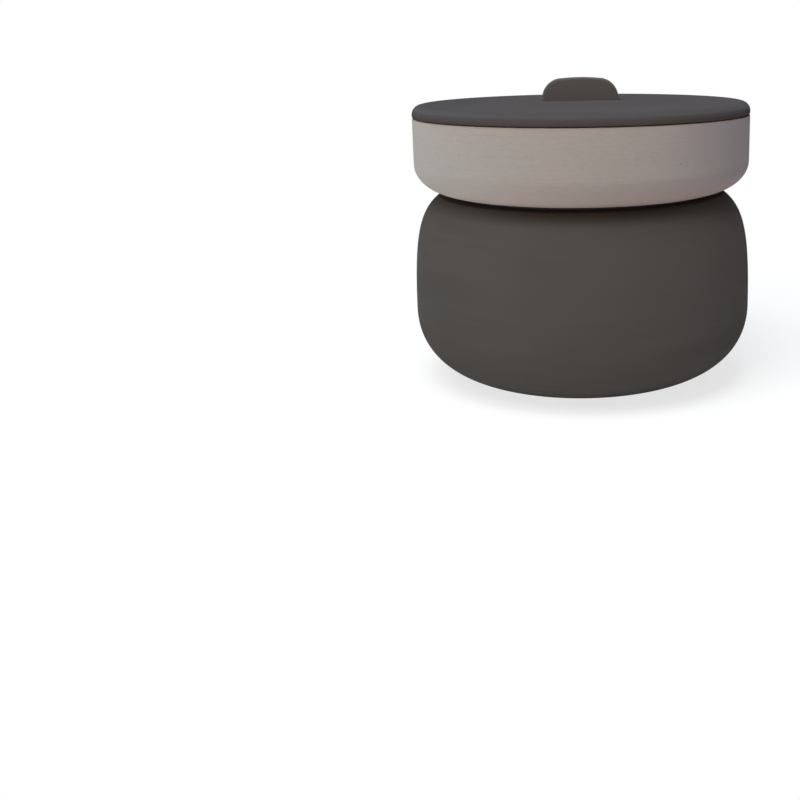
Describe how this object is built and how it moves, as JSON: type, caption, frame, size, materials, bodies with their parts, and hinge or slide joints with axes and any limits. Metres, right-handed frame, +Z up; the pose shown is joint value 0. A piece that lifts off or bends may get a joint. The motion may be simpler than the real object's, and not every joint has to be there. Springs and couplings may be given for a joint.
{
  "type": "wormery",
  "caption": "Round stoneware wormery: deep vessel with a perforated false floor, a perforated feeding tray seated in its mouth, and a lift-off lid with a pinch grip.",
  "frame": {"origin": "middle of the base, on the surface that the foot pads stand on", "axes": "+Z up along the axis that every round piece is turned about; +X along the length of the lid's handle; +Y to the back"},
  "size_m": [0.3654, 0.3654, 0.3235],
  "materials": {
    "dark_stoneware": "matt charcoal slip, smooth",
    "inner_stoneware": "matt charcoal stoneware, unglazed",
    "handle_stoneware": "matt charcoal slip, smooth",
    "pale_stoneware": "unglazed pale stoneware with fine turning lines",
    "pad_rubber": "matt",
    "seal_silicone": "soft matt silicone",
    "screw_steel": "stainless steel",
    "insert_brass": "plain turned brass"
  },
  "bodies": {
    "base": {"base_vessel": "dark_stoneware", "foot_pad_1": "pad_rubber", "foot_pad_2": "pad_rubber", "foot_pad_3": "pad_rubber", "foot_pad_4": "pad_rubber", "mouth_gasket": "seal_silicone"},
    "dome": {"drain_dome": "inner_stoneware"},
    "tray": {"feeding_tray": "pale_stoneware"},
    "lid": {"lid_plate": "dark_stoneware", "lid_bumper_1": "seal_silicone", "lid_bumper_2": "seal_silicone", "lid_bumper_3": "seal_silicone", "lid_bumper_4": "seal_silicone", "lid_handle": "handle_stoneware", "handle_insert_1": "insert_brass", "handle_insert_2": "insert_brass", "handle_screw_1": "screw_steel", "handle_screw_2": "screw_steel", "handle_washer_1": "seal_silicone", "handle_washer_2": "seal_silicone"}
  },
  "joints": [
    {"name": "dome_lift", "type": "slide", "parent": "base", "child": "dome", "axis": [0, 0, 1], "range_m": [0, 0.135]},
    {"name": "tray_lift", "type": "slide", "parent": "base", "child": "tray", "axis": [0, 0, 1], "range_m": [0, 0.15]},
    {"name": "lid_lift", "type": "slide", "parent": "tray", "child": "lid", "axis": [0, 0, 1], "range_m": [0, 0.12]}
  ]
}
